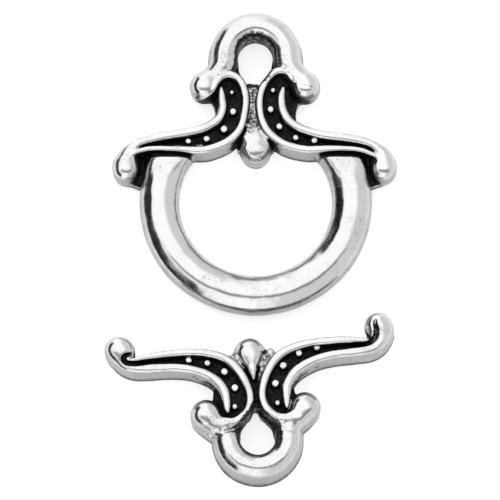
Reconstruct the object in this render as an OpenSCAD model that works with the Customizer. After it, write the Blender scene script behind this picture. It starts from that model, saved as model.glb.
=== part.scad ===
// Toggle clasp for a necklace or bracelet, cast in two loose halves: a ring half and a bar half.
// Both lie on their flat backs. The widest scrollwork runs along X, the loops lie along Y.

/* [Ring half] */
// Diameter of the opening that the bar passes through
ring_hole_d = 10.2; // [9.2:0.1:11.2]
// Width of the ring's band, seen from above
ring_band_w = 2.65; // [2.2:0.05:3.1]
// Height of the ring's band
ring_band_h = 2.5; // [2.2:0.1:2.8]
// Gap between the cut ends of the ring and the crossbar's lower rim
ring_end_gap = 0.35; // [0.1:0.05:0.6]
// How far the middles of the crossbar's end buds stand out past the ring
ring_bud_overhang = 0.9; // [0.7:0.1:1.2]
// Diameter of the crossbar's end buds
ring_end_bud_d = 1.86; // [1.6:0.02:2.1]
// Height of the end buds above the middle of the ring
ring_cross_rise = 2.3; // [1.9:0.1:2.7]
// Height of the curled buds above the end buds
ring_scroll_rise = 5.55; // [5.05:0.1:6.15]
// Distance of the curled buds from the middle line
ring_curl_x = 3.5; // [3.3:0.1:3.8]
// Diameter of the curled buds
ring_curl_bud_d = 1.95; // [1.6:0.05:2.2]
// Height of the loop's hole above the curled buds
ring_loop_rise = 2.25; // [1.95:0.1:2.55]
// Width of the loop's band
ring_loop_band = 2; // [1.6:0.1:2.2]
// Radius of the narrow end of the loop's hole
ring_loop_tip_r = 0.5; // [0.2:0.05:0.7]

/* [Bar half] */
// Distance between the middles of the bar's two end buds
bar_length = 17.4; // [16:0.1:19]
// Diameter of the bar's end buds
bar_end_bud_d = 2; // [1.8:0.05:2.2]
// Distance from the end buds to the curled buds, along the middle line
bar_scroll_rise = 5.15; // [4.8:0.05:5.6]
// Distance of the curled buds from the middle line
bar_curl_x = 3.3; // [3.1:0.1:3.6]
// Diameter of the curled buds
bar_curl_bud_d = 2; // [1.7:0.1:2.3]
// Distance from the curled buds to the loop's hole
bar_loop_rise = 1.85; // [1.6:0.05:2.2]
// Width of the loop's band
bar_loop_band = 1.85; // [1.5:0.05:2.1]
// Radius of the narrow end of the loop's hole
bar_loop_tip_r = 0.25; // [0.1:0.05:0.4]

/* [Loops] */
// Diameter of the round part of the hole for a jump ring
loop_hole_d = 2.2; // [1.8:0.1:2.5]
// Distance from the middle of the round part to the tip of the narrow end
loop_hole_tip = 2.14; // [1.94:0.02:2.3]
// Height of a loop's band
loop_h = 2.2; // [2:0.1:2.5]

/* [Ornament] */
// Height of the rims on both sides of a scroll's channel
rim_h = 2.1; // [1.8:0.1:2.4]
// Width of a rim at its foot
rim_w = 0.6; // [0.5:0.02:0.7]
// Height of the sunk floor of a channel
floor_h = 1.3; // [1:0.1:1.6]
// Height of the low webs beside the buds and round the narrow end of a loop's hole
web_h = 0.9; // [0.7:0.1:1.1]
// Height of the rough ground between the two scrolls
ground_h = 1.4; // [1.2:0.1:1.6]
// Diameter of the largest dot in a channel
dot_d = 0.52; // [0.4:0.02:0.6]
// Height of the top of all buds
bud_h = 2.2; // [2.1:0.1:2.5]
// Diameter of the round bud in the middle of a crossbar
middle_bud_d = 2.1; // [1.8:0.1:2.4]
// Distance of that bud's middle from the line through the end buds
middle_bud_rise = 1.2; // [1:0.1:1.4]
// Length of that bud's pointed tail, from the bud's middle
middle_tail_l = 1.8; // [1.4:0.1:2.1]
// Height of that tail
middle_tail_h = 2; // [1.6:0.1:2.1]

/* [Layout] */
// Gap between the ring and the middle bud of the bar half that lies below it
halves_gap = 1.7; // [0.6:0.1:4]
// How far the bar half lies off the ring's middle line
bar_shift = -0.45; // [-2:0.05:2]
// Turn of the bar half on the table
bar_turn = 4.8; // [-8:0.1:8]

/* [Hidden] */
$fn = 48;

ring_r = ring_hole_d / 2 + ring_band_w / 2;
ring_outer_r = ring_hole_d / 2 + ring_band_w;
ring_reach = ring_outer_r + ring_bud_overhang;
bar_reach = bar_length / 2;
loop_hole_r = loop_hole_d / 2;

// Sections of a channel from its outer end to its curl. Places are shares of the half's reach and of its
// scroll rise, widths are shares of the rim width. An outer width of 0 leaves the outer rim out.
// Columns: inner rim x, y, width, outer rim x, y, width
RING_CHANNEL = [
    [0.985, 0.123, 0.5, 1.005, 0.07, 2.9],
    [0.92, 0.185, 0.5, 0.97, 0.226, 1.8],
    [0.84, 0.216, 0.8, 0.86, 0.308, 1.2],
    [0.745, 0.226, 1, 0.76, 0.354, 1],
    [0.59, 0.221, 1, 0.615, 0.4, 1],
    [0.43, 0.231, 1, 0.47, 0.452, 1],
    [0.29, 0.282, 1, 0.36, 0.513, 1],
    [0.165, 0.385, 1, 0.28, 0.616, 1],
    [0.085, 0.585, 1, 0.25, 0.75, 0.9],
    [0.06, 0.79, 1, 0.26, 0.873, 0.6],
    [0.08, 0.975, 1, 0.262, 0.975, 0.3],
    [0.145, 1.1, 1, 0, 0, 0],
    [0.24, 1.125, 1.2, 0, 0, 0],
    [0.34, 1.07, 1.5, 0, 0, 0],
];
BAR_CHANNEL = [
    [0.97, 0.12, 0.5, 1.005, 0.07, 2.8],
    [0.93, 0.2, 0.6, 0.97, 0.22, 1.9],
    [0.87, 0.21, 0.9, 0.9, 0.3, 1.3],
    [0.74, 0.2, 1, 0.75, 0.34, 1],
    [0.6, 0.19, 1, 0.62, 0.35, 1],
    [0.43, 0.195, 1, 0.486, 0.39, 1],
    [0.29, 0.24, 1, 0.378, 0.47, 1],
    [0.17, 0.35, 1, 0.295, 0.567, 1],
    [0.095, 0.54, 1, 0.24, 0.71, 1],
    [0.055, 0.76, 1, 0.233, 0.87, 0.7],
    [0.06, 0.93, 1, 0.23, 1, 0.3],
    [0.11, 1.06, 1, 0, 0, 0],
    [0.2, 1.14, 1.2, 0, 0, 0],
    [0.3, 1.1, 1.6, 0, 0, 0],
];
// The row where the ring's ends meet the crossbar
RING_END_ROW = 4;

// Dots in a channel. Columns: place counted in rows of the channel's table, share of the largest dot
DOTS = [[4.75, 0.75], [5.85, 0.8], [7.05, 1], [8.3, 0.95], [9.85, 0.65]];

// Corners of the low web in the notch under a curled bud, down its outer edge and back up under the outer rim.
// Columns: share of the bud's distance from the middle line, share of the scroll rise
NOTCH_WEB = [
    [0.9, 0.98],
    [0.9, 0.937],
    [0.86, 0.856],
    [0.83, 0.775],
    [0.82, 0.703],
    [0.8, 0.61],
    [0.65, 0.62],
    [0.6, 0.75],
    [0.62, 0.87],
    [0.62, 1.02],
];

// Corners of the low web between the ring and an end bud.
// Columns: share of the way from the ring's middle line to the bud, share of the bud's radius above its middle
END_WEB = [[0, -1.24], [0.58, -1.24], [0.9, -0.9], [0.87, 1.1], [0, 1.5]];

// Feet that lead a loop's band on to the curled buds, from the middle of the loop's hole down.
// Columns: share of the way across, share of the way down, share of the band's width
RING_FOOT = [[0, 0.12, 0.85], [0.22, 0.52, 0.9], [0.86, 0.91, 0.8]];
BAR_FOOT = [[0, 0.12, 0.85], [0.22, 0.52, 0.95], [0.86, 0.91, 0.95]];
// Height of those feet, as a share of the band's
FOOT_H = 0.97;
// How far a loop's band runs on past its half circle, in degrees
LOOP_DROP = 25;
// Middle corners of the low web between a loop's feet: share of the curled bud's distance from the middle
// line at the bud's height, and share of the scroll rise at the web's lower edge
LOOP_WEB_SIDE = 0.75;
LOOP_WEB_FOOT = 0.93;

// Sections of the middle bud's tail before its tip.
// Columns: share of the tail's length, share of the bud's diameter
MIDDLE_TAIL = [[0.12, 0.85], [0.4, 0.65]];

// How far out the rough ground follows the inner rims, as a share of the half's reach
GROUND_REACH = 0.3;

// Section of a rim. Columns: share of the width from its middle line, share of the height
RIM_SECTION = [[-0.5, 0], [-0.5, 0.72], [-0.33, 0.92], [0, 1], [0.33, 0.92], [0.5, 0.72], [0.5, 0]];
// Steps of a smooth route from one row of its table to the next
ROUTE_STEPS = 3;
// Angle above the level to which the ring is bent up on both sides before its ends are cut
RING_BEND = 60;
// How far the low feet under the ring's ends stand in from its sides, and how far they run in under the band.
// Both are shares of the band's width.
FEET_INSET = 0.04;
FEET_OVERLAP = 0.12;

// Heights above the middle of the ring where its ends stop and where their low feet stop
ring_meeting = RING_CHANNEL[RING_END_ROW];
ring_end_y = ring_cross_rise + ring_meeting[1] * ring_scroll_rise - rim_w / 2 - ring_end_gap;
ring_foot_y = ring_cross_rise + (ring_meeting[1] + ring_meeting[4]) / 2 * ring_scroll_rise;

// Places on the table, measured from the middle of the ring
bar_at = [bar_shift, middle_bud_rise - middle_bud_d / 2 - ring_outer_r - halves_gap];
bar_loop_at = bar_at + (bar_scroll_rise + bar_loop_rise) * [sin(bar_turn), -cos(bar_turn)];
bar_bud_reach = bar_reach * cos(bar_turn);
left_x = min(-ring_reach - ring_end_bud_d / 2, bar_at.x - bar_bud_reach - bar_end_bud_d / 2);
right_x = max(ring_reach + ring_end_bud_d / 2, bar_at.x + bar_bud_reach + bar_end_bud_d / 2);
top_y = ring_cross_rise + ring_scroll_rise + ring_loop_rise + loop_hole_r + ring_loop_band;
bottom_y = bar_loop_at.y - loop_hole_r - bar_loop_band;

// The origin is on the table, under the middle of both halves' common box
ring_at = -[(left_x + right_x) / 2, (top_y + bottom_y) / 2];

// Smooth curve through the rows of a table, in so many steps from row to row. Every column follows.
function row_at(rows, i) = rows[max(0, min(len(rows) - 1, i))];
function spline(a, b, c, d, t) =
    0.5 * (2 * b + (c - a) * t + (2 * a - 5 * b + 4 * c - d) * t * t + (3 * b - a - 3 * c + d) * t * t * t);
function smooth(rows) = [
    for (i = [0:len(rows) - 2], k = [0:ROUTE_STEPS - 1])
        spline(row_at(rows, i - 1), rows[i], rows[i + 1], row_at(rows, i + 2), k / ROUTE_STEPS),
    rows[len(rows) - 1],
];
function between_rows(rows, place) =
    let (i = floor(place), t = place - i) rows[i] * (1 - t) + rows[i + 1] * t;
function reversed(list) = [for (i = [len(list) - 1:-1:0]) list[i]];
function mirrored(points) = [for (p = points) [-p.x, p.y]];
function flat(route) = [for (p = route) [p.x, p.y]];

// The two rims of a channel as rows of x, y and width
function inner_rim(channel, reach, rise) = [for (s = channel) [s[0] * reach, s[1] * rise, s[2] * rim_w]];
function outer_rim(channel, reach, rise) =
    [for (s = channel) if (s[5] > 0) [s[3] * reach, s[4] * rise, s[5] * rim_w]];

module both_sides() {
    children();
    mirror([1, 0, 0]) children();
}

// Full round section, cut off flat where it would reach below the table
module round_section(w, h) {
    intersection() {
        translate([0, h - w / 2]) circle(d = w);
        translate([-w / 2, 0]) square([w, h]);
    }
}

// Section with a round top and straight sides down to the table
module domed_section(w, h) {
    translate([0, h - w / 2]) circle(d = w);
    translate([-w / 2, 0]) square([w, h - w / 2]);
}

// Round bud
module bud(at, d) {
    translate(at)
        rotate_extrude()
            intersection() {
                round_section(d, bud_h);
                square([d, bud_h]);
            }
}

// Ridge along a route of x, y and width rows
module ridge(route, h) {
    n = len(route);
    m = len(RIM_SECTION);
    points = [
        for (i = [0:n - 1])
            let (along = row_at(route, i + 1) - row_at(route, i - 1), side = [-along.y, along.x])
                for (s = RIM_SECTION)
                    [
                        route[i].x + side.x / norm(side) * s[0] * route[i].z,
                        route[i].y + side.y / norm(side) * s[0] * route[i].z,
                        s[1] * h,
                    ],
    ];
    walls = [
        for (i = [0:n - 2], j = [0:m - 1])
            let (a = i * m + j, b = i * m + (j + 1) % m)
                each [[a, b, b + m], [a, b + m, a + m]],
    ];
    near_end = [for (j = [m - 1:-1:0]) j];
    far_end = [for (j = [0:m - 1]) (n - 1) * m + j];
    polyhedron(points, concat(walls, [near_end, far_end]));
}

// One scroll: two rims, the sunk floor between them and its row of dots
module scroll(channel, reach, rise) {
    inner = smooth(inner_rim(channel, reach, rise));
    outer = smooth(outer_rim(channel, reach, rise));
    ridge(inner, rim_h);
    ridge(outer, rim_h);
    linear_extrude(floor_h) polygon(concat(flat(inner), reversed(flat(outer))));
    for (dot = DOTS) {
        s = between_rows(channel, dot[0]);
        dot_r = dot[1] * dot_d / 2;
        translate([(s[0] + s[3]) / 2 * reach, (s[1] + s[4]) / 2 * rise]) {
            cylinder(r = dot_r, h = floor_h + dot_r);
            translate([0, 0, floor_h + dot_r]) sphere(dot_r);
        }
    }
}

// Rough ground between the two scrolls, up to their inner rims
module ground(channel, reach, rise) {
    rim = smooth(inner_rim(channel, reach, rise));
    edge = flat([for (p = rim) if (p.x < reach * GROUND_REACH && p.y < rise) p]);
    linear_extrude(ground_h) polygon(concat(edge, reversed(mirrored(edge))));
}

// Middle bud with a tail that runs to a point between the scrolls
module middle_bud() {
    bud([0, middle_bud_rise], middle_bud_d);
    ridge([
        for (s = MIDDLE_TAIL) [0, middle_bud_rise + middle_tail_l * s[0], middle_bud_d * s[1]],
        [0, middle_bud_rise + middle_tail_l, rim_w / 3],
    ], middle_tail_h);
}

// Hole with a round and a narrow end, cut right through
module loop_hole(tip_r) {
    translate([0, 0, -loop_h / 2])
        linear_extrude(2 * loop_h)
            hull() {
                circle(loop_hole_r);
                translate([0, tip_r - loop_hole_tip]) circle(tip_r);
            }
}

// Loop that rises from the two curled buds, with a low web between its feet
module loop(curl, loop_rise, band, foot, tip_r) {
    centre = [0, curl.y + loop_rise];
    band_r = loop_hole_r + band / 2;
    leg = [for (s = foot) [band_r + (curl.x - band_r) * s[0], centre.y - loop_rise * s[1], band * s[2]]];
    web = [[band_r, centre.y], [curl.x * LOOP_WEB_SIDE, curl.y], [rim_w, curl.y * LOOP_WEB_FOOT]];
    difference() {
        union() {
            translate(centre)
                rotate([0, 0, -LOOP_DROP])
                    rotate_extrude(angle = 180 + 2 * LOOP_DROP)
                        translate([band_r, 0]) domed_section(band, loop_h);
            both_sides() ridge(leg, loop_h * FOOT_H);
            linear_extrude(web_h) polygon(concat(web, reversed(mirrored(web))));
        }
        translate(centre) loop_hole(tip_r);
    }
}

// What both halves share. The end buds' middles lie on the X axis, the loop rises along Y.
module ornament(channel, reach, end_bud_d, curl, curl_bud_d, loop_rise, loop_band, foot, tip_r) {
    both_sides() {
        scroll(channel, reach, curl.y);
        bud([reach, 0], end_bud_d);
        bud(curl, curl_bud_d);
        linear_extrude(web_h) polygon([for (p = NOTCH_WEB) [p.x * curl.x, p.y * curl.y]]);
    }
    ground(channel, reach, curl.y);
    middle_bud();
    loop(curl, loop_rise, loop_band, foot, tip_r);
}

// Open ring, cut off straight under the crossbar
module ring_band() {
    side = 3 * ring_outer_r;
    intersection() {
        rotate([0, 0, 180 - RING_BEND])
            rotate_extrude(angle = 180 + 2 * RING_BEND)
                translate([ring_r, 0]) round_section(ring_band_w, ring_band_h);
        translate([-side / 2, ring_end_y - side, -ring_band_h / 2]) cube([side, side, 2 * ring_band_h]);
    }
}

// Low feet: they carry the ring's ends on to the middle of the channels and tie the end buds to them
module ring_feet() {
    inset = FEET_INSET * ring_band_w;
    overlap = FEET_OVERLAP * ring_band_w;
    linear_extrude(web_h) {
        intersection() {
            difference() {
                circle(ring_outer_r - inset);
                circle(ring_hole_d / 2 + inset);
            }
            translate([-ring_outer_r, ring_end_y - overlap])
                square([2 * ring_outer_r, ring_foot_y - ring_end_y + overlap]);
        }
        both_sides()
            polygon([for (p = END_WEB) [ring_r + p.x * (ring_reach - ring_r),
                ring_cross_rise + p.y * ring_end_bud_d / 2]]);
    }
}

module toggle_ring() {
    color("silver")
        translate(ring_at) {
            ring_band();
            ring_feet();
            translate([0, ring_cross_rise])
                ornament(RING_CHANNEL, ring_reach, ring_end_bud_d, [ring_curl_x, ring_scroll_rise],
                    ring_curl_bud_d, ring_loop_rise, ring_loop_band, RING_FOOT, ring_loop_tip_r);
        }
}

module toggle_bar() {
    color("silver")
        translate(ring_at + bar_at)
            rotate([0, 0, 180 + bar_turn])
                ornament(BAR_CHANNEL, bar_reach, bar_end_bud_d, [bar_curl_x, bar_scroll_rise],
                    bar_curl_bud_d, bar_loop_rise, bar_loop_band, BAR_FOOT, bar_loop_tip_r);
}

toggle_ring();
toggle_bar();
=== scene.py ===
"""Toggle clasp in two loose castings, dressed as worn antique silver around its frame."""

import math

import bpy
import numpy as np
from mathutils import Matrix, Vector


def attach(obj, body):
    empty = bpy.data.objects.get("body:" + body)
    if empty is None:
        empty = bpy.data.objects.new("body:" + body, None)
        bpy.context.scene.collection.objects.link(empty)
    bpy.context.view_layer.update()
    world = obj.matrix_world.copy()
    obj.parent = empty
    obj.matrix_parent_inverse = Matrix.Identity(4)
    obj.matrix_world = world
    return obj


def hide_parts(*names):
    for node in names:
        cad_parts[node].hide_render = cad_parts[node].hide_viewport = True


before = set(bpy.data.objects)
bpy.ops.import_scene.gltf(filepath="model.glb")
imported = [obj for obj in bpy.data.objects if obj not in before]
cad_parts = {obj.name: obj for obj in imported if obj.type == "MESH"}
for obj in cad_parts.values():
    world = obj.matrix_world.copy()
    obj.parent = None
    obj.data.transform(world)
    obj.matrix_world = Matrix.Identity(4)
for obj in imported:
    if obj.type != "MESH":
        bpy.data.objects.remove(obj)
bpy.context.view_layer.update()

bl_info = {
    "name": "Toggle clasp",
    "version": (1, 0, 0),
    "blender": (4, 5, 0),
    "location": "3D View > Sidebar > Clasp",
    "description": "Builds both halves of a toggle clasp and the stage that they lie on",
    "category": "Add Mesh",
}

METAL = "worn_silver_plate"
BODY = "root"
MM = 0.001

# Places in the frame, in millimetres: middle of the ring, middle of the bar's loop hole, and the
# bar's turn in degrees
RING_AT = (0.2697, 3.0127)
BAR_AT = (0.4055, -13.2627)
BAR_TURN = 4.8
# Spot that the camera looks at, and width of the picture there: 500 pixels, 15 to a millimetre
PICTURE_AT = (-0.1103, 0.1001)
PICTURE_WIDTH = 500 / 15
# Camera: width of its sensor in millimetres, and from where to where it sees, in metres
SENSOR_WIDTH = 36
CAMERA_SIGHT = (0.01, 20)

# ---------------------------------------------------------------- ring half, in millimetres
# All of it is measured from the middle of the ring.
# Corners of the block of points that it is worked out in, and the seed of its unevenness
RING_BLOCK = ((-9.9, -8.1, -0.2), (9.9, 13.5, 2.8))
RING_SEED = 11
# Ring: radius of its middle line, radius of its round section, and height of that section's middle
RING_RADIUS = 6.425
TUBE_RADIUS = 1.325
TUBE_HEIGHT = 1.175
# Squarer section toward the ring's ends: half of its flat sides, rounding of its corners, y where
# it starts, length over which it grows, and its share at the end
SQUARE_HALF = 0.625
SQUARE_ROUNDING = 0.7
SQUARE_START = 1.2
SQUARE_LENGTH = 1.6
SQUARE_SHARE = 0.65
# The ring stops at this y. Low feet join its ends to the crossbar: half of their width, their
# lower and upper y, and their height
RING_END = 2.88
FOOT_HALF = 1.22
FOOT_START = 2.6
FOOT_END = 4
FOOT_TOP = 1.5
# Rims of a channel from the arm's end to its curl. Columns: x, y, half of the width
RING_INNER_LEFT = [
    (-8.3, 3.12, 0.13), (-7.8, 3.38, 0.15), (-7.05, 3.55, 0.17), (-6.16, 3.56, 0.19),
    (-5.27, 3.52, 0.22), (-4.49, 3.47, 0.26), (-3.82, 3.46, 0.28), (-3.16, 3.52, 0.29),
    (-2.27, 3.85, 0.3), (-1.6, 4.27, 0.3), (-1.12, 4.87, 0.29), (-0.85, 5.55, 0.27),
    (-0.68, 6.6, 0.26), (-0.7, 7.3, 0.26), (-0.86, 7.95, 0.27), (-1.2, 8.48, 0.28),
    (-1.77, 8.74, 0.29), (-2.3, 8.6, 0.29),
]
RING_INNER_RIGHT = [
    (8.2, 2.97, 0.13), (7.73, 3.18, 0.15), (7.07, 3.43, 0.17), (6.17, 3.54, 0.19),
    (5.07, 3.56, 0.23), (4.17, 3.51, 0.27), (3.29, 3.51, 0.29), (2.17, 3.78, 0.3),
    (1.4, 4.21, 0.3), (0.75, 4.86, 0.29), (0.37, 5.7, 0.26), (0.25, 6.6, 0.24),
    (0.33, 7.4, 0.24), (0.53, 8.0, 0.25), (0.82, 8.5, 0.26), (1.2, 8.86, 0.26),
    (1.65, 9.0, 0.25), (2.1, 8.85, 0.2), (2.42, 8.42, 0.16),
]
RING_OUTER_LEFT = [
    (-8.66, 2.7, 0.85), (-8.4, 3.4, 0.5), (-7.86, 3.93, 0.28), (-7.16, 4.19, 0.29),
    (-6.27, 4.42, 0.32), (-5.16, 4.62, 0.33), (-4.06, 4.82, 0.31), (-3.13, 5.15, 0.3),
    (-2.45, 5.71, 0.3), (-2.19, 6.48, 0.28), (-2.25, 7.1, 0.25), (-2.27, 7.4, 0.2),
    (-2.3, 7.75, 0.1),
]
RING_OUTER_RIGHT = [
    (8.54, 2.75, 0.8), (8.34, 3.35, 0.5), (7.78, 3.84, 0.28), (7.07, 4.12, 0.29),
    (6.17, 4.3, 0.32), (5.29, 4.42, 0.32), (4.4, 4.55, 0.31), (3.51, 4.79, 0.3),
    (2.84, 5.06, 0.3), (2.3, 5.42, 0.3), (1.95, 5.9, 0.3), (1.75, 6.48, 0.28),
    (1.7, 7.1, 0.25), (1.75, 7.4, 0.2), (1.83, 7.75, 0.1),
]
# Low plate between a curl and its outer rim, on the right side. Columns: x, y
RING_NOTCH = [
    (3.2, 7.8), (3.06, 7.4), (2.9, 7.08), (2.74, 6.7), (2.68, 6.25), (2.72, 5.69), (2.28, 5.74),
    (2.0, 6.46), (1.6, 7.13), (1.5, 8.2), (2.4, 8.3),
]
# Web beside the ring's right end. Columns: x, y
RING_WEB = [(RING_RADIUS, 1.15), (7.715, 1.15), (8.43, 1.46), (8.36, 3.3), (RING_RADIUS, 3.7)]
# Rib on that web. Columns: x, y, half of the width, height
RING_WEB_RIB = [(7.45, 3.1, 0.13, 1.2), (7.62, 1.7, 0.12, 1.15)]
# Ground between the scrolls, and web under the loop. Columns: x, y
RING_GROUND = [
    (-1.34, 4.53), (-0.83, 5.43), (-0.66, 6.75), (-0.7, 7.9), (0.4, 7.9), (0.25, 6.9),
    (0.3, 5.85), (0.62, 5.04), (1.29, 4.34), (1.2, 3.7), (-1.2, 3.7),
]
RING_LOOP_WEB = [(-2.1, 10.1), (-2.62, 7.85), (-0.8, 7.3), (0.5, 7.3), (2.62, 7.85), (2.1, 10.1)]
# Rough ground between the scrolls: a narrow strip, then a mound behind the bead. Columns: x, y,
# half of the width, height
RING_STRIP = [(-0.24, 5.4, 0.5, 1.66), (-0.2, 6.6, 0.45, 1.7), (-0.17, 7.9, 0.45, 1.66)]
RING_MOUND = [
    (0, 3.8, 0.95, 2.0), (-0.05, 4.4, 0.86, 1.96), (-0.1, 5.0, 0.6, 1.82),
    (-0.12, 5.6, 0.35, 1.7),
]
# Bead in the crossbar's middle: x, y, radius
RING_BEAD = (0, 3.6, 1.02)
# Balls at the arms' ends and in the curls. Columns: x, y, radius
RING_BALLS = [(-8.63, 2.25, 0.925), (8.52, 2.27, 0.88), (-3.42, 8.03, 1.0), (3.32, 8.0, 1.0)]
# Pegs on the channels' floors. Columns: x, y, radius
RING_PEGS = [
    (-1.59, 7.54, 0.19), (-1.51, 6.2, 0.27), (-2.11, 4.98, 0.28), (-3.27, 4.3, 0.24),
    (-4.49, 4.13, 0.23), (1.15, 7.67, 0.19), (0.99, 6.35, 0.25), (1.57, 5.15, 0.25),
    (2.67, 4.38, 0.24), (3.9, 4.16, 0.23),
]
# The left inner rim runs on round its curled ball, and a crease crosses the right one. Columns:
# x, y, half of the width, height of its middle
RING_LIP = [
    (-2.3, 8.6, 0.28, 1.84), (-2.65, 8.15, 0.26, 1.86), (-2.87, 7.7, 0.23, 1.84),
    (-3.2, 7.36, 0.2, 1.76), (-3.6, 7.17, 0.18, 1.62), (-3.95, 7.25, 0.14, 1.46),
]
RING_CREASE = [
    (2.75, 8.0, 0.05, 2.18), (3.1, 7.88, 0.08, 2.28), (3.55, 7.8, 0.08, 2.26),
    (4.0, 7.7, 0.05, 1.98),
]
# Loop: its right leg from the curled ball up, then its arch. Columns of the leg: x, y, half of the
# width, height. The arch's turn is 1 where it goes round the back, -1 where it goes round the front
RING_LOOP_LEG = [
    (3.3, 8.35, 0.7, 2.1), (2.85, 8.72, 0.76, 2.1), (2.44, 9.15, 0.82, 2.15),
    (2.17, 9.6, 0.88, 2.2),
]
RING_ARCH = {"middle": 10.1, "radius": 2.1, "half": 0.93, "top": 2.22, "turn": 1}
# Hole of the loop. Columns: x, y, radius
RING_HOLE = [
    (-0.02, 10.25, 1.15), (-0.04, 9.55, 1.08), (-0.05, 9.18, 0.92), (-0.05, 8.85, 0.68),
    (-0.03, 8.62, 0.42),
]

# ---------------------------------------------------------------- bar half, in millimetres
# All of it is measured from the middle of the loop's hole, before the turn. Columns and terms are
# those of the ring half.
BAR_BLOCK = ((-9.95, -3.2, -0.2), (9.95, 8.25, 2.6))
BAR_SEED = 23
# Rims on the right side, which the left ones mirror
BAR_INNER = [
    (8.1, 5.83, 0.1), (7.7, 5.88, 0.14), (6.89, 6.02, 0.19), (5.34, 6.11, 0.24),
    (3.81, 6.06, 0.26), (2.43, 5.75, 0.29), (1.54, 5.22, 0.31), (0.9, 4.35, 0.3),
    (0.47, 3.27, 0.27), (0.45, 2.3, 0.27), (0.84, 1.55, 0.28), (1.6, 1.08, 0.29),
    (2.3, 1.15, 0.3),
]
BAR_OUTER = [
    (8.66, 6.6, 0.88), (8.46, 5.86, 0.6), (7.82, 5.33, 0.38), (6.55, 5.19, 0.31),
    (5.42, 5.14, 0.29), (4.23, 4.94, 0.29), (3.29, 4.56, 0.31), (2.57, 4.05, 0.32),
    (2.11, 3.34, 0.32), (2.0, 2.6, 0.28), (1.99, 2.15, 0.22), (1.97, 1.8, 0.12),
]
# Both pairs of rims sit this far to the right of the middle
BAR_LEAN = 0.12
# The channel's floor leaves out this many of the last points of the inner rim's curve
FLOOR_STOP = 5
BAR_NOTCH = [
    (2.97, 1.9), (2.97, 2.17), (2.84, 2.59), (2.74, 3.0), (2.7, 3.38), (2.64, 3.86), (2.15, 3.8),
    (1.98, 3.14), (1.6, 2.5), (1.5, 1.3), (2.4, 1.2),
]
BAR_GROUND = [
    (-1.9, 5.5), (-1.44, 5.22), (-0.8, 4.35), (-0.37, 3.27), (-0.35, 2.0), (0.57, 2.0),
    (0.6, 3.27), (1.0, 4.35), (1.66, 5.22), (2.1, 5.5), (1.2, 5.9), (0.9, 6.0), (-0.9, 6.0),
]
# Rough metal left on both sides of the drop
BAR_MOUNDS = [
    [
        (-1.15, 5.4, 0.36, 1.9), (-0.85, 4.8, 0.34, 1.86), (-0.52, 4.1, 0.26, 1.78),
        (-0.26, 3.5, 0.2, 1.5),
    ],
    [
        (1.35, 5.65, 0.3, 1.84), (0.98, 4.95, 0.32, 1.8), (0.66, 4.3, 0.26, 1.72),
        (0.4, 3.7, 0.2, 1.5),
    ],
]
BAR_LOOP_WEB = [(-2.0, 0), (-2.5, 1.6), (-0.4, 2.9), (0.5, 2.9), (2.5, 1.6), (2.0, 0)]
# Low foot round the left curled ball
BAR_SKIRT = [
    (-4.15, 1.75), (-4.22, 1.5), (-4.16, 1.28), (-4.0, 1.06), (-3.78, 0.84), (-3.46, 0.52),
    (-3.15, 0.24), (-2.8, 0.08), (-2.4, 1.2),
]
BAR_LOOP_LEG = [(2.4, 0.95, 0.7, 1.95), (2.08, 0.4, 0.8, 2.1)]
BAR_ARCH = {"middle": 0, "radius": 2.03, "half": 0.88, "top": 2.2, "turn": -1}
# Drop between the scrolls, from its ball to its point
BAR_DROP = [
    (-0.05, 5.75, 0.86, 2.2), (-0.02, 5.2, 0.64, 2.16), (0.02, 4.65, 0.36, 2.08),
    (0.06, 3.95, 0.12, 1.95),
]
# Thick end of the right curl, lying over the loop
BAR_CURL = [
    (3.3, 1.8, 0.9, 2.2), (2.8, 1.2, 0.85, 2.15), (2.25, 0.98, 0.62, 2.14),
    (1.75, 1.02, 0.4, 2.13),
]
# Balls at the arms' ends, in the curls and at the drop's thick end
BAR_BALLS = [
    (-8.7, 6.76, 0.98), (8.65, 7.02, 0.94), (-3.3, 1.85, 1.02), (3.3, 1.85, 1.02),
    (-0.06, 5.84, 1.05),
]
# Lines round the lower edges of the curls, left and right. The last column is the middle's height
BAR_LINES = [
    [
        (-4.1, 1.0, 0.1, 1.1), (-3.4, 0.4, 0.12, 1.6), (-2.84, 0.27, 0.12, 1.98),
        (-2.27, 0.38, 0.12, 2.15), (-1.5, 0.57, 0.1, 1.85),
    ],
    [
        (1.2, 0.58, 0.08, 1.75), (1.84, 0.28, 0.12, 2.15), (2.4, 0.14, 0.12, 2.15),
        (2.95, 0.2, 0.1, 1.75),
    ],
]
# The channels run on round the rims' ends into the balls. The last column is the bottom's height
BAR_GROOVES = [
    [
        (7.0, 5.7, 0.14, 1.4), (7.78, 5.68, 0.15, 1.5), (8.26, 5.98, 0.18, 1.6),
        (8.47, 6.44, 0.16, 1.7), (8.43, 6.91, 0.11, 1.85), (8.43, 7.2, 0.06, 2.0),
    ],
    [
        (-6.9, 5.62, 0.14, 1.4), (-7.5, 5.58, 0.16, 1.5), (-8.18, 5.66, 0.17, 1.5),
        (-8.48, 5.95, 0.16, 1.55), (-8.3, 6.2, 0.15, 1.6), (-8.0, 6.28, 0.1, 1.7),
    ],
]
BAR_PEGS = [
    (-4.14, 5.6, 0.25), (-2.92, 5.31, 0.25), (-1.84, 4.62, 0.28), (-1.23, 3.46, 0.28),
    (-1.36, 2.15, 0.21), (4.43, 5.77, 0.23), (3.21, 5.47, 0.24), (2.09, 4.72, 0.27),
    (1.47, 3.53, 0.28), (1.51, 2.18, 0.21),
]
BAR_HOLE = [
    (-0.02, 0, 1.14), (-0.03, 0.35, 1.08), (-0.03, 0.75, 0.82), (-0.02, 1.2, 0.48),
    (0, 1.86, 0.17),
]

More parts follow.
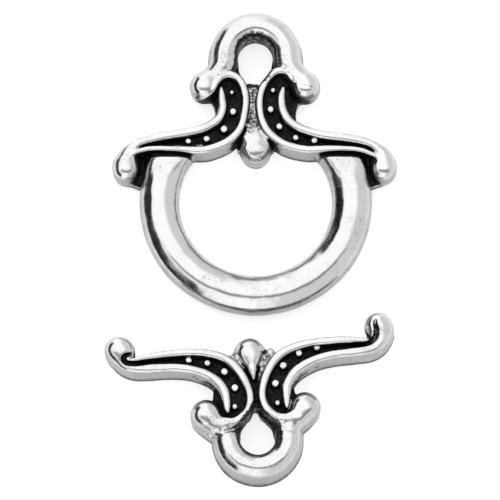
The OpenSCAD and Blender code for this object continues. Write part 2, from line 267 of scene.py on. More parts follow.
# ---------------------------------------------------------------- both halves, in millimetres
# Heights above the table
RIM_TOP = 2.12
BALL_TOP = 2.24
BEAD_TOP = 2.2
PEG_TOP = 1.85
BAR_GROUND_TOP = 1.4
SKIRT_TOP = 1.3
FLOOR_TOP = 1.2
RING_GROUND_TOP = 1.05
NOTCH_TOP = 1.0
WEB_TOP = 0.9
# Widening of upright walls toward the table, per millimetre of depth
DRAFT = 0.03
LOOP_DRAFT = 0.12
# Narrowing of the wall under a ball toward the table, per millimetre of depth squared
BALL_UNDERCUT = 0.1
# Rounding of a peg's edge, least rounding of a ridge's edge, and half of the width of a rim's
# level top
PEG_EDGE = 0.13
LEAST_EDGE = 0.1
RIM_FLAT = 0.05
# Worn flats on the flanks of round bars: their lean, their distance from the bar's middle as a
# share of its radius, and the softness of their edges
FLANK_LEAN = math.radians(39)
FLANK_SHARE = 0.97
FLANK_EDGE = 0.06
# Fillets where a form runs into the metal round it
PEG_FILLET = 0.05
RIM_FILLET = 0.06
FLOOR_FILLET = 0.08
WEB_FILLET = 0.1
LOOP_FILLET = 0.12
BACK_FILLET = 0.12
CURL_FILLET = 0.2
HOLE_FILLET = 0.2
BALL_FILLET = 0.3
# Hammer marks: their width, and their depth on floors and on webs
MARK_SIZE = 0.22
FLOOR_MARKS = 0.02
WEB_MARKS = 0.03
# Unevenness of a casting's whole face: long waves and short ripples
WAVE_DEPTH = 0.015
WAVE_SIZE = 1.6
RIPPLE_DEPTH = 0.012
RIPPLE_SIZE = 0.4
# Points that nothing reaches are given this distance
FAR = 1.5

# What the patina and the painted shade follow. Rays that look for metal round a point, how
# squarely they at least leave its surface, and how far out they look for recesses and for crevices
RAYS = 48
LEAST_FACING = 0.1
RECESS_REACHES = (0.15, 0.25, 0.4, 0.6, 0.85, 1.15, 1.5, 2.0, 2.5)
CREVICE_REACHES = (0.1, 0.17, 0.25, 0.35)
# How far the patina of a hole and of rough ground reaches beyond them
BORE_REACH = 0.6
RUBBLE_REACH = 0.15
# Names under which a piece's surface carries these
FORM = ("recess", "crevice", "bore", "rubble", "height", "upward")

# Width of the metal's grain, in millimetres
SPECK_SIZE = 0.1
PIT_SIZE = 0.12
GRAIN_SIZE = 0.28
CLOUD_SIZE = 1.5
GRAIN_DEPTH = 0.02
# How much light the tent loses where it is dimmer, and in its seam
DIM_LOSS = 0.38
SEAM_LOSS = 0.75


class Field:
    """Distances in millimetres from a block of points to a casting's surface, negative inside."""

    def __init__(self, low, high, step, seed):
        self.low = np.array(low, float)
        self.step = step
        self.rng = np.random.default_rng(seed)
        counts = [int(math.ceil((b - a) / step)) + 1 for a, b in zip(low, high)]
        self.x, self.y, self.z = (
            (a + step * np.arange(n)).astype(np.float32) for a, n in zip(low, counts))
        self.d = np.full(counts, FAR, np.float32)
        self.everywhere = (slice(None), slice(None))
        self.opening = []
        self.rough_ground = []

    def near(self, points, margin):
        """The part of the block round these points, and its plan coordinates."""
        points = np.asarray(points, float)
        low, high = points[:, :2].min(0) - margin, points[:, :2].max(0) + margin
        i = slice(*np.searchsorted(self.x, [low[0], high[0]]))
        j = slice(*np.searchsorted(self.y, [low[1], high[1]]))
        return (i, j), self.x[i][:, None], self.y[j][None, :]

    def near_route(self, route):
        """The part of the block round a route, and there the distance to the route in plan, its
        half width and its height."""
        window, x, y = self.near(route, FAR + max(r[2] for r in route))
        return window, *(v[..., None] for v in along_route(x, y, route))

    def join(self, window, d, blend):
        """Adds metal, given by its distances in a part of the block."""
        self.d[window] = soft_min(self.d[window], d, blend)

    def cut(self, window, d, blend):
        """Takes metal away, given by its distances in a part of the block."""
        self.d[window] = -soft_min(-self.d[window], d, blend)

    def ridge(self, route, blend, draft=DRAFT, flat=0.0, rubbed=False, rough=None):
        """Upright ridge along rows of x, y, half width and height. flat is half the width of its
        level top, rubbed gives it flatter flanks, and rough is the depth of its hammer marks."""
        window, dist, half, top = self.near_route(route)
        edge = np.maximum(half - flat, np.minimum(half, LEAST_EDGE))
        above = self.z - top + edge
        d = rounded(dist - half + edge, above) - edge - draft * np.maximum(-above, 0)
        if rubbed:
            d = -soft_min(-d, -flank(dist, above, half), FLANK_EDGE)
        if rough is not None:
            d += rough * self.marks(window)
        self.join(window, d, blend)

    def ball(self, x0, y0, r, blend, top=BALL_TOP):
        """Ball on a wall that narrows a little toward the table."""
        window, x, y = self.near([(x0, y0)], FAR + r)
        above = self.z - (top - r)
        d = np.hypot(np.hypot(x - x0, y - y0)[..., None], np.maximum(above, 0)) - r
        self.join(window, d + BALL_UNDERCUT * np.maximum(-above, 0) ** 2, blend)

    def peg(self, x0, y0, r):
        """Upright peg with a level top and a rounded edge."""
        window, x, y = self.near([(x0, y0)], FAR + r)
        plan = (np.hypot(x - x0, y - y0) - r + PEG_EDGE)[..., None]
        self.join(window, rounded(plan, self.z - PEG_TOP + PEG_EDGE) - PEG_EDGE, PEG_FILLET)

    def slab(self, outline, top, blend, rough):
        """Low plate inside an outline. rough is the depth of the hammer marks on its top."""
        window, x, y = self.near(outline, FAR)
        above = self.z - top + rough * self.marks(window)
        self.join(window, rounded(inside_outline(x, y, outline)[..., None], above), blend)

    def wire(self, route, blend, change):
        """Round wire along rows of x, y, radius and height of its middle, joined or cut out."""
        window, dist, half, top = self.near_route(route)
        change(window, np.hypot(dist, self.z - top) - half, blend)

    def groove(self, route, blend):
        """Groove cut from above, along rows of x, y, half width and height of its bottom."""
        window, dist, half, bottom = self.near_route(route)
        self.cut(window, rounded(dist - half, bottom - self.z), blend)

    def hole(self, route):
        """Opening cut right through, along rows of x, y and radius."""
        self.opening = with_top(route, 0)
        window, dist, half, _ = self.near_route(self.opening)
        self.cut(window, dist - half, HOLE_FILLET)

    def rubble(self, route, blend, flat, rough):
        """Ridge of rough ground, which keeps more patina."""
        self.rough_ground.append(route)
        self.ridge(route, blend, flat=flat, rough=rough)

    def marks(self, window):
        """Hammer marks over a part of the block, about 1 high and 1 deep."""
        return bumps(self.rng, MARK_SIZE, self.x[window[0]], self.y[window[1]])[..., None]

    def finish(self):
        """Slight unevenness of a casting, and the flat back."""
        waves = WAVE_DEPTH * bumps(self.rng, WAVE_SIZE, self.x, self.y, self.z)
        self.d += waves + RIPPLE_DEPTH * bumps(self.rng, RIPPLE_SIZE, self.x, self.y, self.z)
        self.cut(self.everywhere, np.broadcast_to(self.z, self.d.shape), BACK_FILLET)

    def sample(self, points):
        """Distances at points between the block's own points."""
        at = (points - self.low) / self.step
        base = np.clip(np.floor(at).astype(int), 0, np.array(self.d.shape) - 2)
        t = np.clip(at - base, 0, 1)
        total = 0
        for corner in np.ndindex(2, 2, 2):
            i, j, k = (base + corner).T
            weight = np.prod(np.where(corner, t, 1 - t), axis=1)
            total = total + weight * self.d[i, j, k]
        return total

    def slope(self, points):
        """Directions in which the distance grows fastest."""
        steps = self.step * np.eye(3)
        out = np.stack([self.sample(points + h) - self.sample(points - h) for h in steps], 1)
        return out / np.maximum(np.linalg.norm(out, axis=1, keepdims=True), 1e-6)

    def hidden_share(self, points, out, reaches):
        """Share of the space before each point that the metal round it hides, looking this far."""
        n = np.arange(RAYS) + 0.5
        rise, turn = 1 - 2 * n / RAYS, n * math.pi * (1 + math.sqrt(5))
        flat = np.sqrt(1 - rise**2)
        hidden, total = np.zeros(len(points)), np.full(len(points), 1e-6)
        start = (points + out * self.step - self.low) / self.step
        most = np.array(self.d.shape) - 1
        metal = self.d < 0
        for ray in np.stack([flat * np.cos(turn), flat * np.sin(turn), rise], 1):
            facing = out @ ray
            use = np.flatnonzero(facing > LEAST_FACING)
            hit = np.zeros(len(use), bool)
            for reach in reaches:
                at = np.rint(start[use] + ray * (reach / self.step))
                i, j, k = np.clip(at, 0, most).astype(int).T
                hit |= metal[i, j, k]
            hidden[use] += hit * facing[use]
            total[use] += facing[use]
        return hidden / total

    def settle(self, points):
        """Moves points the last bit of the way on to the surface."""
        for _ in range(2):
            by = np.clip(self.sample(points), -self.step, self.step)
            points = points - by[:, None] * self.slope(points)
        return points


def soft_min(a, b, blend):
    """The smaller of two distances, with a fillet of this size where they meet."""
    h = np.maximum(blend - np.abs(a - b), 0)
    return np.minimum(a, b) - h * h / (4 * blend)


def rounded(side, above):
    """Distance to an upright wall's edge from the distances to its side and its top."""
    outside = np.hypot(np.maximum(side, 0), np.maximum(above, 0))
    return outside + np.minimum(np.maximum(side, above), 0)


def flank(side, above, r):
    """Distance to the flat that wear leaves where the crest of a round bar turns into its sides.
    r is the bar's radius."""
    return side * math.sin(FLANK_LEAN) + above * math.cos(FLANK_LEAN) - FLANK_SHARE * r


def to_stretch(x, y, a, b):
    """Distance in plan to the straight stretch from a to b, and how far along it that is."""
    ux, uy = b[0] - a[0], b[1] - a[1]
    t = np.clip(((x - a[0]) * ux + (y - a[1]) * uy) / max(ux * ux + uy * uy, 1e-9), 0, 1)
    return np.hypot(x - a[0] - t * ux, y - a[1] - t * uy), t


def along_route(x, y, route):
    """Distance in plan to the nearest stretch of a route, with the half width and height there."""
    shape = np.broadcast(x, y).shape
    best, dist, half, top = (np.full(shape, v, np.float32) for v in (np.inf, FAR, 0, 0))
    for a, b in zip(route, route[1:]):
        here, t = to_stretch(x, y, a, b)
        width = a[2] + t * (b[2] - a[2])
        closer = here - width < best
        best = np.where(closer, here - width, best)
        dist = np.where(closer, here, dist)
        half = np.where(closer, width, half)
        top = np.where(closer, a[3] + t * (b[3] - a[3]), top)
    return dist, half, top


def beside(points, routes, reach):
    """1 on the nearest of these routes, 0 from this far away."""
    x, y = points[:, 0], points[:, 1]
    gaps = [np.subtract(*along_route(x, y, route)[:2]) for route in routes]
    return np.clip(1 - np.min(gaps, axis=0) / reach, 0, 1)


def inside_outline(x, y, outline):
    """Distance in plan to a closed outline, negative inside it."""
    shape = np.broadcast(x, y).shape
    best, inside = np.full(shape, np.inf), np.zeros(shape, bool)
    for a, b in zip(outline, outline[1:] + outline[:1]):
        best = np.minimum(best, to_stretch(x, y, a, b)[0])
        uy = b[1] - a[1]
        if uy:
            crossing = a[0] + (y - a[1]) / uy * (b[0] - a[0])
            inside ^= ((y < a[1]) != (y < b[1])) & (x < crossing)
    return np.where(inside, -best, best).astype(np.float32)


def smooth_route(rows, steps=6):
    """Curve through the rows of a table, with this many points to a row."""
    rows = np.asarray(rows, float)
    ends = np.vstack([2 * rows[0] - rows[1], rows, 2 * rows[-1] - rows[-2]])
    out = []
    for a, b, c, d in zip(ends, ends[1:], ends[2:], ends[3:]):
        for t in np.arange(steps) / steps:
            out.append(0.5 * (2 * b + (c - a) * t + (2 * a - 5 * b + 4 * c - d) * t**2
                              + (3 * b - a - 3 * c + d) * t**3))
    return out + [rows[-1]]


def arch(middle, radius, half, top, turn):
    """Half circle of a loop's route from right to left, in steps of 15 degrees. middle is the y of
    its middle."""
    angles = np.radians(turn * np.arange(0, 181, 15))
    return [(radius * math.cos(a), middle + radius * math.sin(a), half, top) for a in angles]


def loop_route(leg, bend):
    """Route up one leg of a loop, round its arch and down the mirrored leg."""
    return smooth_route(leg + arch(**bend) + sided(leg, -1)[::-1], steps=4)


def with_top(rows, top):
    """The same route at one height."""
    return [(*r[:3], top) for r in rows]


def sided(rows, side):
    """The same rows on the right for side 1, mirrored to the left for side -1."""
    return [(side * r[0], *r[1:]) for r in rows]


def shifted(rows, by):
    """The same rows, moved to the right."""
    return [(r[0] + by, *r[1:]) for r in rows]


def between(first, second):
    """Outline of the ground between two routes that run the same way."""
    return [p[:2] for p in first] + [p[:2] for p in second[::-1]]


def bumps(rng, size, *axes):
    """Smooth random bumps of about this size over a grid, about 1 high and 1 deep."""
    weights = []
    for axis in axes:
        at = (axis - axis[0]) / size
        cell = np.floor(at).astype(int)
        t = at - cell
        w = np.zeros((len(axis), cell[-1] + 4))
        rows = np.arange(len(axis))
        curve = ((1 - t) ** 3, 3 * t**3 - 6 * t**2 + 4, -3 * t**3 + 3 * t**2 + 3 * t + 1, t**3)
        for k, value in enumerate(curve):
            w[rows, cell + k] = value / 6
        weights.append(w)
    out = rng.standard_normal([w.shape[1] for w in weights])
    for w in weights:
        out = np.moveaxis(np.tensordot(w, out, (1, 0)), 0, -1)
    return (out / (out.std() * 2)).astype(np.float32)


def add_ring(f):
    """The open ring with its two feet."""
    ring = np.abs(np.hypot(f.x[:, None], f.y[None, :]) - RING_RADIUS)
    y = f.y[None, :]
    side, above = ring[..., None], f.z - TUBE_HEIGHT
    # Round, rubbed flatter where the crest turns into the sides, and squarer toward its ends
    inside = TUBE_RADIUS - np.hypot(side, above)
    tube = -soft_min(inside, -flank(side, above, TUBE_RADIUS), FLANK_EDGE)
    square = rounded(side - SQUARE_HALF, np.abs(above) - SQUARE_HALF) - SQUARE_ROUNDING
    share = np.clip((y - SQUARE_START) / SQUARE_LENGTH, 0, 1)[..., None]
    tube = tube + SQUARE_SHARE * (square - tube) * share * share * (3 - 2 * share)
    open_ring = -soft_min(-tube, (RING_END - y)[..., None], WEB_FILLET)
    f.join(f.everywhere, open_ring, RIM_FILLET)
    foot = np.maximum(np.maximum(ring - FOOT_HALF, y - FOOT_END), FOOT_START - y)
    f.join(f.everywhere, np.maximum(foot[..., None], f.z - FOOT_TOP), WEB_FILLET)


def ring_field(step):
    """The ring half: ring, crossbar of two scrolls, loop."""
    f = Field(*RING_BLOCK, step, RING_SEED)
    add_ring(f)
    sides = ((-1, RING_INNER_LEFT, RING_OUTER_LEFT), (1, RING_INNER_RIGHT, RING_OUTER_RIGHT))
    for side, inner, outer in sides:
        rim, lip = smooth_route(inner), smooth_route(outer)
        f.slab(between(rim, lip), FLOOR_TOP, FLOOR_FILLET, FLOOR_MARKS)
        f.slab(sided(RING_NOTCH, side), NOTCH_TOP, WEB_FILLET, WEB_MARKS)
        f.slab(sided(RING_WEB, side), WEB_TOP, blend=0.12, rough=0.05)
        f.ridge(sided(RING_WEB_RIB, side), WEB_FILLET)
        f.ridge(with_top(rim, RIM_TOP), RIM_FILLET, flat=RIM_FLAT)
        f.ridge(with_top(lip, RIM_TOP), RIM_FILLET, flat=RIM_FLAT)
    f.slab(RING_GROUND, RING_GROUND_TOP, WEB_FILLET, rough=0.06)
    f.slab(RING_LOOP_WEB, WEB_TOP, WEB_FILLET, WEB_MARKS)
    f.rubble(RING_STRIP, WEB_FILLET, flat=0.3, rough=0.04)
    f.rubble(RING_MOUND, blend=0.12, flat=0.5, rough=0.08)
    f.ball(*RING_BEAD, blend=0.2, top=BEAD_TOP)
    f.ridge(loop_route(RING_LOOP_LEG, RING_ARCH), LOOP_FILLET, draft=LOOP_DRAFT, rubbed=True)
    for ball in RING_BALLS:
        f.ball(*ball, BALL_FILLET)
    f.wire(smooth_route(RING_LIP), RIM_FILLET, f.join)
    f.wire(smooth_route(RING_CREASE), blend=0.08, change=f.cut)
    for peg in RING_PEGS:
        f.peg(*peg)
    f.hole(RING_HOLE)
    f.finish()
    return f


def bar_field(step):
    """The bar half: two scrolls, a drop between them and a loop."""
    f = Field(*BAR_BLOCK, step, BAR_SEED)
    for side in (-1, 1):
        rim = smooth_route(shifted(sided(BAR_INNER, side), BAR_LEAN))
        lip = smooth_route(shifted(sided(BAR_OUTER, side), BAR_LEAN))
        f.slab(between(rim[:-FLOOR_STOP], lip), FLOOR_TOP, FLOOR_FILLET, FLOOR_MARKS)
        f.slab(sided(BAR_NOTCH, side), NOTCH_TOP, WEB_FILLET, WEB_MARKS)
        f.ridge(with_top(rim, RIM_TOP), RIM_FILLET, flat=RIM_FLAT)
        f.ridge(with_top(lip, RIM_TOP), RIM_FILLET, flat=RIM_FLAT)
    f.slab(BAR_GROUND, BAR_GROUND_TOP, WEB_FILLET, rough=0.08)
    for mound in BAR_MOUNDS:
        f.rubble(mound, blend=0.05, flat=0.2, rough=0.06)
    f.slab(BAR_LOOP_WEB, WEB_TOP, WEB_FILLET, WEB_MARKS)
    f.slab(BAR_SKIRT, SKIRT_TOP, blend=0.35, rough=0.06)
    f.ridge(loop_route(BAR_LOOP_LEG, BAR_ARCH), LOOP_FILLET, draft=LOOP_DRAFT, rubbed=True)
    f.ridge(BAR_DROP, blend=0.05)
    for side in (1, -1):
        f.ridge(smooth_route(sided(BAR_CURL, side)), CURL_FILLET)
    for ball in BAR_BALLS:
        f.ball(*ball, BALL_FILLET)
    for line in BAR_LINES:
        f.wire(smooth_route(line), RIM_FILLET, f.cut)
    for groove in BAR_GROOVES:
        f.groove(smooth_route(groove), blend=0.12)
    for peg in BAR_PEGS:
        f.peg(*peg)
    f.hole(BAR_HOLE)
    f.finish()
    return f


# ---------------------------------------------------------------- meshes


def surface_of(field):
    """Points and four-sided faces where the field passes through 0."""
    d = field.d
    inside = d < 0
    corners = sum(inside[i:i - 1 or None, j:j - 1 or None, k:k - 1 or None].astype(np.int8)
                  for i, j, k in np.ndindex(2, 2, 2))
    mixed = (corners > 0) & (corners < 8)
    cells = np.argwhere(mixed)
    index = np.full(mixed.shape, -1, np.int32)
    index[mixed] = np.arange(len(cells))
    # A point in each cell that the surface passes through, in the middle of where it crosses edges
    total, count = np.zeros((len(cells), 3)), np.zeros(len(cells))
    for axis in range(3):
        u, v = [n for n in range(3) if n != axis]
        for du, dv in np.ndindex(2, 2):
            a = cells.copy()
            a[:, u] += du
            a[:, v] += dv
            b = a.copy()
            b[:, axis] += 1
            da, db = d[tuple(a.T)], d[tuple(b.T)]
            crossed = (da < 0) != (db < 0)
            at = a[crossed].astype(float)
            at[:, axis] += (da / np.where(crossed, da - db, 1))[crossed]
            total[crossed] += at
            count[crossed] += 1
    points = field.low + total / count[:, None] * field.step
    # A face round each edge that the surface crosses, turned outward
    faces = []
    for axis in range(3):
        u, v = (axis + 1) % 3, (axis + 2) % 3
        first = [slice(None)] * 3
        second = [slice(None)] * 3
        first[axis], second[axis] = slice(None, -1), slice(1, None)
        start = inside[tuple(first)]
        edges = np.argwhere(start != inside[tuple(second)])
        edges = edges[(edges[:, u] > 0) & (edges[:, v] > 0)]
        quad = []
        for du, dv in ((1, 1), (0, 1), (0, 0), (1, 0)):
            c = edges.copy()
            c[:, u] -= du
            c[:, v] -= dv
            quad.append(index[tuple(c.T)])
        quad = np.stack(quad, 1)
        back = ~start[tuple(edges.T)]
        quad[back] = quad[back][:, ::-1]
        faces.append(quad)
    return points, np.concatenate(faces)


def plain_mesh(name, points, faces):
    """Mesh from lists of points and faces."""
    mesh = bpy.data.meshes.new(name)
    mesh.from_pydata(points, [], faces)
    return mesh


def thinned(name, points, faces, most):
    """The same surface with fewer triangles, most of them left where the form is fine."""
    mesh = plain_mesh(name, points.tolist(), faces.tolist())
    piece = bpy.data.objects.new(name, mesh)
    bpy.context.scene.collection.objects.link(piece)
    modifier = piece.modifiers.new("Thin", "DECIMATE")
    modifier.ratio = min(1.0, most / (2 * len(faces)))
    evaluated = piece.evaluated_get(bpy.context.evaluated_depsgraph_get())
    done = bpy.data.meshes.new_from_object(evaluated)
    bpy.data.objects.remove(piece)
    bpy.data.meshes.remove(mesh)
    done.name = name
    return done


def vertex_places(mesh):
    """Places of a mesh's points, a row each."""
    flat = np.zeros(len(mesh.vertices) * 3)
    mesh.vertices.foreach_get("co", flat)
    return flat.reshape(-1, 3)


def write_form(mesh, field, at, out):
    """Writes what the patina and the painted shade follow on to a mesh with its points at these
    places, where the surface faces out."""
    values = (
        field.hidden_share(at, out, RECESS_REACHES),
        field.hidden_share(at, out, CREVICE_REACHES),
        beside(at, [field.opening], BORE_REACH),
        beside(at, field.rough_ground, RUBBLE_REACH),
        at[:, 2],
        out[:, 2],
    )
    for name, column in zip(FORM, values):
        attribute = mesh.attributes.new(name, "FLOAT", "POINT")
        attribute.data.foreach_set("value", column.astype(np.float32))


def cast_piece(name, field, place, node, material, most):
    """Turns a field into one finished piece that stands for its node. place is x, y in
    millimetres and the turn in degrees."""
    points, faces = surface_of(field)
    mesh = thinned(name, field.settle(points), faces, most)
    at = field.settle(vertex_places(mesh))
    write_form(mesh, field, at, field.slope(at))
    mesh.vertices.foreach_set("co", at.ravel())
    turn = Matrix.Rotation(math.radians(place[2]), 4, "Z")
    mesh.transform(Matrix.Scale(MM, 4) @ Matrix.Translation((place[0], place[1], 0)) @ turn)
    mesh.polygons.foreach_set("use_smooth", [True] * len(mesh.polygons))
    mesh.update()
    if mesh.validate():
        raise RuntimeError(f"{name}: the mesh had faults")
    piece = bpy.data.objects.new(name, mesh)
    bpy.context.scene.collection.objects.link(piece)
    mesh.materials.append(material)
    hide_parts(node)
    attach(piece, BODY)


# ---------------------------------------------------------------- shaders


class Wire:
    """A value in a shader. Sums and products of wires add the nodes that work them out."""

    def __init__(self, shader, socket):
        self.shader = shader
        self.socket = socket

    def math(self, operation, *values, clamp=False):
        """Adds the node for one operation."""
        settings = {"operation": operation, "use_clamp": clamp}
        return self.shader.node("ShaderNodeMath", settings, dict(enumerate(values)))

    def __add__(self, other):
        return self.math("ADD", self, other)

    def __radd__(self, other):
        return self.math("ADD", other, self)

    def __sub__(self, other):
        return self.math("SUBTRACT", self, other)

    def __rsub__(self, other):
        return self.math("SUBTRACT", other, self)

    def __mul__(self, other):
        return self.math("MULTIPLY", self, other)

    def __rmul__(self, other):
        return self.math("MULTIPLY", other, self)

    def greatest(self, other):
        """The larger of two values."""
        return self.math("MAXIMUM", self, other)

    def clamped(self):
        """The value, kept from 0 to 1."""
        return self.math("ADD", self, 0.0, clamp=True)

    def step(self, low, high):
        """0 below low, 1 above high, smooth between them."""
        values = {"Value": self, "From Min": low, "From Max": high, "To Min": 0.0, "To Max": 1.0}
        return self.shader.node("ShaderNodeMapRange", {"interpolation_type": "SMOOTHSTEP"}, values)


class Shader:
    """The nodes of one material or world."""

    def __init__(self, owner):
        owner.use_nodes = True
        self.tree = owner.node_tree
        self.tree.nodes.clear()

    def node(self, kind, settings=None, values=None, out=0):
        """Adds a node: its settings first, then the values or links of its sockets."""
        node = self.tree.nodes.new(kind)
        for name, value in (settings or {}).items():
            setattr(node, name, value)
        for name, value in (values or {}).items():
            if isinstance(value, Wire):
                self.tree.links.new(value.socket, node.inputs[name])
            else:
                node.inputs[name].default_value = value
        return Wire(self, node.outputs[out]) if node.outputs else node

    def mix(self, factor, a, b):
        """Colour between a and b."""
        values = {0: factor, 6: a, 7: b}
        return self.node("ShaderNodeMix", {"data_type": "RGBA"}, values, 2)

    def noise(self, place, size, detail=3.0, roughness=0.55):
        """Random grain of about this size in millimetres."""
        values = {
            "Vector": place,
            "Scale": 1.0 / size,
            "Detail": detail,
            "Roughness": roughness,
        }
        return self.node("ShaderNodeTexNoise", None, values)

    def attribute(self, name):
        """Value that a piece's surface carries under this name."""
        return self.node("ShaderNodeAttribute", {"attribute_name": name}, None, "Fac")


def patina_share(form, steep, grain, uneven):
    """How much black is laid on: patina in recesses, round holes and on rough and low ground, and
    a darker band along the foot of the walls. 0 on clean metal, 1 where it is thick.
    """
    recess, crevice, bore, rubble, height, upward = form
    # Deep in recesses and round a loop's hole, whose upright wall is rubbed clean in spots
    deep = recess * (1.0 + 0.5 * steep) + 0.5 * crevice + 0.9 * bore
    deep = (deep - 0.16 * height.step(1.4, 1.65) + 0.5 * uneven).step(0.27, 0.5)
    deep = deep * (1.0 - 0.6 * bore * steep * grain.step(0.42, 0.65))
    # Between the bumps of rough ground, less of it toward the height of the rims
    rough = 0.52 * (1.0 - height.step(1.75, RIM_TOP)) + 0.9 * uneven
    rough = rubble * rough.step(0.25, 0.7)
    # On level ground as low as the channels' floors
    low_ground = upward.step(0.3, 0.6) * (1.0 - (height + 0.1 * uneven).step(1.25, 1.4))
    # Darker along the foot of the walls, fading out between 0.15 and 0.8 mm up
    foot = 0.85 * (1.0 - (height - 0.5 * uneven).step(0.15, 0.8))
    return deep.greatest(rough).greatest(low_ground).greatest(foot)


def antique_silver(look):
    """Worn silver plate with black patina left in the recesses, and painted shade that darkens
    its steep walls and its recesses.
    """
    material = bpy.data.materials.new(METAL)
    s = Shader(material)
    place = s.node("ShaderNodeTexCoord", None, None, "Object")
    place = s.node("ShaderNodeVectorMath", {"operation": "SCALE"}, {0: place, "Scale": 1 / MM})
    form = [s.attribute(name) for name in FORM]
    recess, upward = form[FORM.index("recess")], form[FORM.index("upward")]
    specks = s.noise(place, SPECK_SIZE, 2.0, 0.7)
    grain = s.noise(place, GRAIN_SIZE, 3.0, 0.6)
    clouds = s.noise(place, CLOUD_SIZE)
    uneven = 1.4 * (specks - 0.5) + (grain - 0.5)
    steep = 1.0 - upward.step(0.05, 0.8)
    # Small pits come in clusters
    pits = 0.75 * s.noise(place, PIT_SIZE, 1.0).step(0.64, 0.7) * clouds.step(0.57, 0.66)
    patina = patina_share(form, steep, grain, uneven).greatest(pits)
    # Painted shade: steep walls, by their steepness, and recesses take the darker silver, mixed
    # with random dull tone, so crests stay brighter
    shade_and_tone = (steep + 1.2 * recess + 0.6 * uneven + 0.9 * (clouds - 0.5)).clamped()
    silver = s.mix(shade_and_tone, (*look.silver_colour, 1), (*look.wall_shade_colour, 1))
    # The patina is blacker in spots
    black = [0.25 * c for c in look.patina_colour]
    spots = (grain + 0.8 * (specks - 0.5)).step(0.4, 0.75)
    soot = s.mix(spots, (*black, 1), (*look.patina_colour, 1))
    rough = look.silver_roughness + 0.12 * shade_and_tone + 0.1 * (grain - 0.4).greatest(0.0)
    rough = rough + patina * (look.patina_roughness - look.silver_roughness)
    relief = {
        "Strength": 0.5,
        "Distance": GRAIN_DEPTH * MM,
        "Height": 0.6 * grain + 0.4 * specks,
    }
    values = {
        "Base Color": s.mix(patina, silver, soot),
        "Metallic": 1.0,
        "Roughness": rough.clamped(),
        "Normal": s.node("ShaderNodeBump", None, relief),
    }
    surface = s.node("ShaderNodeBsdfPrincipled", None, values)
    s.node("ShaderNodeOutputMaterial", None, {"Surface": surface})
    return material


def floor_material(look):
    """Pale light table."""
    material = bpy.data.materials.new("pale_floor")
    s = Shader(material)
    values = {
        "Base Color": (*look.floor_colour, 1),
        "Roughness": 0.9,
        "Specular IOR Level": 0.1,
        "Emission Color": (1, 1, 1, 1),
        "Emission Strength": look.floor_glow,
    }
    surface = s.node("ShaderNodeBsdfPrincipled", None, values)
    s.node("ShaderNodeOutputMaterial", None, {"Surface": surface})
    return material


def studio_world(look):
    """White tent: dimmer low down on the right, open and dark low down on the left, and with a
    seam that crosses it toward the front."""
    world = bpy.data.worlds.new("studio")
    bpy.context.scene.world = world
    s = Shader(world)
    direction = s.node("ShaderNodeTexCoord", None, None, "Generated")
    parts = s.tree.nodes.new("ShaderNodeSeparateXYZ")
    s.tree.links.new(direction.socket, parts.inputs[0])
    east, north, up = (Wire(s, parts.outputs[n]) for n in range(3))
    dim = east.step(0.0, 0.3) * (1.0 - (up - 0.3 * east).step(0.52, 0.82))
    opening = (-1.0 * east).step(0.5, 0.64) * (1.0 - up.step(0.4, 0.5))
    across = north + 0.55 * up
    seam = (1.0 - (across * across).step(0.01, 0.1)) * up.step(0.5, 0.75)
    strength = look.tent_light * (1.0 - DIM_LOSS * dim) * (1.0 - opening)
    strength = strength * (1.0 - SEAM_LOSS * seam)
    values = {"Color": (1, 1, 1, 1), "Strength": strength}
    background = s.node("ShaderNodeBackground", None, values)
    s.node("ShaderNodeOutputWorld", None, {"Surface": background})


# ---------------------------------------------------------------- sizes and looks


class ClaspLook(bpy.types.PropertyGroup):
    """Colours, polish and light."""

    silver_colour: bpy.props.FloatVectorProperty(
        name="Silver", description="Colour of the polished metal", subtype="COLOR",
        default=(0.59, 0.59, 0.585), min=0, max=1)
    # Darker silver painted on steep walls and in recesses as shade, mixed with random dull tone
    wall_shade_colour: bpy.props.FloatVectorProperty(
        name="Dull silver", description="Colour of the metal on walls that are not polished",
        subtype="COLOR", default=(0.3, 0.3, 0.295), min=0, max=1)
    patina_colour: bpy.props.FloatVectorProperty(
        name="Patina", description="Colour of the blackened recesses", subtype="COLOR",
        default=(0.05, 0.05, 0.05), min=0, max=1)
    floor_colour: bpy.props.FloatVectorProperty(
        name="Floor", description="Colour of the floor", subtype="COLOR",
        default=(0.5, 0.5, 0.5), min=0, max=1)
    silver_roughness: bpy.props.FloatProperty(
        name="Polish", description="Roughness of the polished metal", subtype="FACTOR",
        default=0.16, min=0, max=1)
    patina_roughness: bpy.props.FloatProperty(
        name="Patina roughness", description="Roughness of the blackened recesses",
        subtype="FACTOR", default=0.55, min=0, max=1)
    floor_glow: bpy.props.FloatProperty(
        name="Floor glow", description="Brightness of the light table that serves as a floor",
        default=0.7, min=0)
    tent_light: bpy.props.FloatProperty(
        name="Tent light", description="Brightness of the white tent round the clasp",
        default=1.65, min=0)


class ClaspSizes(bpy.types.PropertyGroup):
    """Fineness of the meshes, and sizes of the stage."""

    mesh_step: bpy.props.FloatProperty(
        name="Mesh step",
        description="Spacing of the points that a casting's surface is laid through",
        unit="LENGTH", default=0.000075, min=0.00004, max=0.0003, precision=6)
    most_triangles: bpy.props.IntProperty(
        name="Triangles", description="Most triangles of one casting", default=160000, min=1000)
    camera_distance: bpy.props.FloatProperty(
        name="Camera distance", description="Distance from the camera to the clasp",
        unit="LENGTH", default=1.5, min=0.2)
    camera_tilt: bpy.props.FloatProperty(
        name="Camera tilt", description="Lean of the camera from straight above, toward the front",
        subtype="ANGLE", default=math.radians(16), min=0)
    floor_width: bpy.props.FloatProperty(
        name="Floor width", description="Width of the floor", unit="LENGTH", default=4.0, min=0.1)


def ready(context):
    """The clasp's sizes, looks and metal."""
    scene = context.scene
    metal = bpy.data.materials.get(METAL) or antique_silver(scene.clasp_look)
    return scene.clasp_sizes, scene.clasp_look, metal


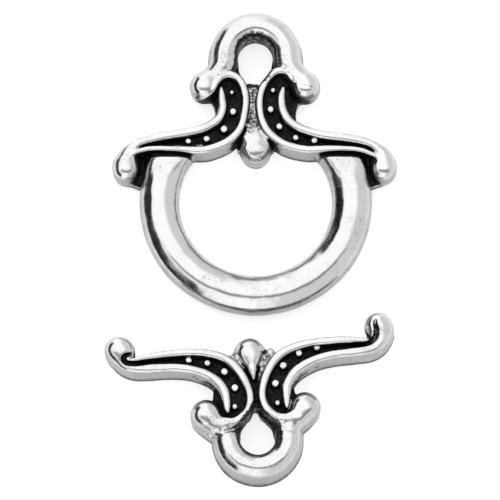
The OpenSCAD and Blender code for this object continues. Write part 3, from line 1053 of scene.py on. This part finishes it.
class CLASP_OT_ring_half(bpy.types.Operator):
    """Casts the ring half: ring, scrolled crossbar and loop"""

    bl_idname = "clasp.ring_half"
    bl_label = "Ring half"

    def execute(self, context):
        sizes, _, metal = ready(context)
        field = ring_field(sizes.mesh_step / MM)
        place = (*RING_AT, 0)
        cast_piece("ring_half", field, place, "toggle_ring", metal, sizes.most_triangles)
        return {"FINISHED"}


class CLASP_OT_bar_half(bpy.types.Operator):
    """Casts the bar half: scrolled bar, drop and loop"""

    bl_idname = "clasp.bar_half"
    bl_label = "Bar half"

    def execute(self, context):
        sizes, _, metal = ready(context)
        field = bar_field(sizes.mesh_step / MM)
        place = (*BAR_AT, BAR_TURN)
        cast_piece("bar_half", field, place, "toggle_bar", metal, sizes.most_triangles)
        return {"FINISHED"}


class CLASP_OT_stage(bpy.types.Operator):
    """Lays the floor and sets the light and the camera"""

    bl_idname = "clasp.stage"
    bl_label = "Stage"

    def execute(self, context):
        sizes, look, _ = ready(context)
        scene = context.scene
        half = sizes.floor_width / 2
        corners = [(-half, -half, 0), (half, -half, 0), (half, half, 0), (-half, half, 0)]
        mesh = plain_mesh("floor", corners, [(0, 1, 2, 3)])
        mesh.materials.append(floor_material(look))
        floor = bpy.data.objects.new("floor", mesh)
        scene.collection.objects.link(floor)
        studio_world(look)
        data = bpy.data.cameras.new("camera")
        data.type = "PERSP"
        data.sensor_width = SENSOR_WIDTH
        data.lens = SENSOR_WIDTH * sizes.camera_distance / (PICTURE_WIDTH * MM)
        data.clip_start, data.clip_end = CAMERA_SIGHT
        camera = bpy.data.objects.new("camera", data)
        target = Vector((PICTURE_AT[0] * MM, PICTURE_AT[1] * MM, 0))
        tilt = sizes.camera_tilt
        away = Vector((0, -math.sin(tilt), math.cos(tilt)))
        camera.location = target + away * sizes.camera_distance
        camera.rotation_euler = (tilt, 0, 0)
        scene.collection.objects.link(camera)
        scene.camera = camera
        scene.view_settings.view_transform = "Standard"
        return {"FINISHED"}


class CLASP_PT_panel(bpy.types.Panel):
    """Sizes, looks and steps of the clasp"""

    bl_idname = "CLASP_PT_panel"
    bl_label = "Toggle clasp"
    bl_space_type = "VIEW_3D"
    bl_region_type = "UI"
    bl_category = "Clasp"

    def draw(self, context):
        for group in (context.scene.clasp_sizes, context.scene.clasp_look):
            for name in group.bl_rna.properties.keys():
                if name not in ("rna_type", "name"):
                    self.layout.prop(group, name)
        for step in STEPS:
            self.layout.operator(step.bl_idname)


STEPS = (CLASP_OT_ring_half, CLASP_OT_bar_half, CLASP_OT_stage)
CLASSES = (ClaspLook, ClaspSizes, *STEPS, CLASP_PT_panel)


def register():
    for cls in CLASSES:
        bpy.utils.register_class(cls)
    bpy.types.Scene.clasp_look = bpy.props.PointerProperty(type=ClaspLook)
    bpy.types.Scene.clasp_sizes = bpy.props.PointerProperty(type=ClaspSizes)


def unregister():
    del bpy.types.Scene.clasp_sizes
    del bpy.types.Scene.clasp_look
    for cls in reversed(CLASSES):
        bpy.utils.unregister_class(cls)


def main():
    register()
    bpy.ops.clasp.ring_half()
    bpy.ops.clasp.bar_half()
    bpy.ops.clasp.stage()


if __name__ == "__main__":
    main()
